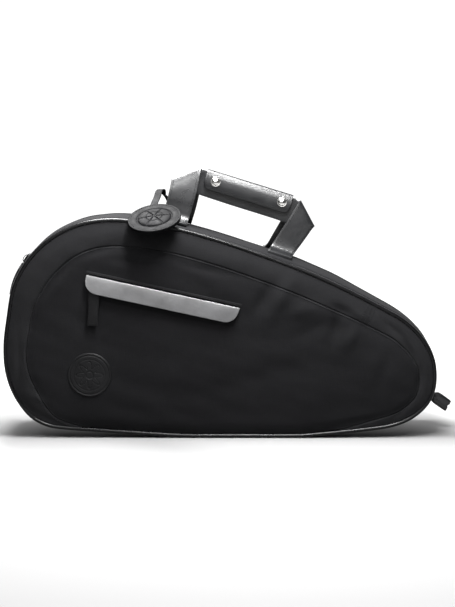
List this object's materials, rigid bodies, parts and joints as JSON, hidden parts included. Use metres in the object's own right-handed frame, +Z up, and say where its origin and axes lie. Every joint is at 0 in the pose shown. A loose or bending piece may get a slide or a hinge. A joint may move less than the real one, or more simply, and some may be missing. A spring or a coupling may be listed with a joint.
{
  "type": "paddle bag",
  "caption": "Teardrop canvas paddle bag with leather piping, flapped zip pocket, snap-wrapped carry handle, round patch, hang tag and toe loop.",
  "frame": {"origin": "middle of the flat stretch of the bottom gusset, on the floor, midway between the two piping loops and the heel and toe ends", "axes": "+X towards the toe, front faces -Y, +Z up"},
  "size_m": [0.5721, 0.1794, 0.3363],
  "materials": {
    "canvas": "matte woven cotton",
    "leather": "satin smooth leather",
    "lining": "matte lining cloth",
    "padding": "lined foam",
    "board": "stiff board",
    "zip_tape": "woven tape",
    "zip_coil": "nylon coil",
    "zip_metal": "dark plated",
    "nickel": "polished nickel"
  },
  "bodies": {
    "case": {"front_centre_panel": "canvas", "front_border_long": "canvas", "front_border_toe": "canvas", "back_panel": "canvas", "gusset_bottom": "canvas", "gusset_top_front": "canvas", "gusset_top_rear": "canvas", "front_piping": "leather", "back_piping": "leather", "front_strap_foot_heel": "leather", "front_strap_foot_toe": "leather", "rear_strap_foot_heel": "leather", "rear_strap_foot_toe": "leather", "round_patch": "leather", "toe_loop": "leather", "pocket_pouch": "lining", "front_padding": "padding", "back_padding": "padding", "base_board": "board", "zip_tape": "zip_tape", "pocket_zip_tape": "zip_tape", "zip_coil": "zip_coil", "pocket_zip_coil": "zip_coil"},
    "handle": {"front_strap": "leather", "rear_strap": "leather", "grip_wrap": "leather", "snap_stud_heel": "nickel", "snap_stud_toe": "nickel"},
    "wrap_flap": {"grip_flap": "leather", "snap_cap_heel": "nickel", "snap_cap_toe": "nickel"},
    "pocket_flap": {"pocket_flap": "leather"},
    "pocket_slider": {"pocket_slider": "zip_metal"},
    "pocket_pull": {"pocket_pull": "leather"},
    "main_slider": {"main_slider": "zip_metal"},
    "main_pull": {"main_pull": "leather"},
    "tag": {"tag_face": "leather", "tag_back": "leather", "tag_strap": "leather"}
  },
  "joints": [
    {"name": "handle_tilt", "type": "hinge", "parent": "case", "child": "handle", "pos_m": [0.00135, 0, 0.27327], "axis": [0.9563, 0, -0.2924], "range_deg": [-45, 45]},
    {"name": "wrap_flap_open", "type": "hinge", "parent": "handle", "child": "wrap_flap", "pos_m": [0.01588, -0.0082, 0.3208], "axis": [-0.9563, 0, 0.2924], "range_deg": [0, 150]},
    {"name": "pocket_flap_lift", "type": "hinge", "parent": "case", "child": "pocket_flap", "pos_m": [-0.18, -0.074, 0.2065], "axis": [-0.977, 0, 0.213], "range_deg": [0, 100]},
    {"name": "pocket_slider_travel", "type": "slide", "parent": "case", "child": "pocket_slider", "axis": [0.977, 0, -0.213], "range_m": [0, 0.155]},
    {"name": "pocket_pull_swing", "type": "hinge", "parent": "pocket_slider", "child": "pocket_pull", "pos_m": [-0.1716, -0.0763, 0.19341], "axis": [0, 1, 0], "range_deg": [-30, 30]},
    {"name": "main_slider_travel", "type": "hinge", "parent": "case", "child": "main_slider", "pos_m": [-0.152, 0, 0.147], "axis": [0, 1, 0], "range_deg": [0, 50]},
    {"name": "main_pull_swing", "type": "hinge", "parent": "main_slider", "child": "main_pull", "pos_m": [-0.26818, 0, 0.21516], "axis": [0, 1, 0], "range_deg": [0, 90]},
    {"name": "tag_swing", "type": "hinge", "parent": "case", "child": "tag", "pos_m": [-0.06746, 0, 0.28594], "axis": [-0.9563, 0, 0.2924], "range_deg": [0, 26]}
  ]
}
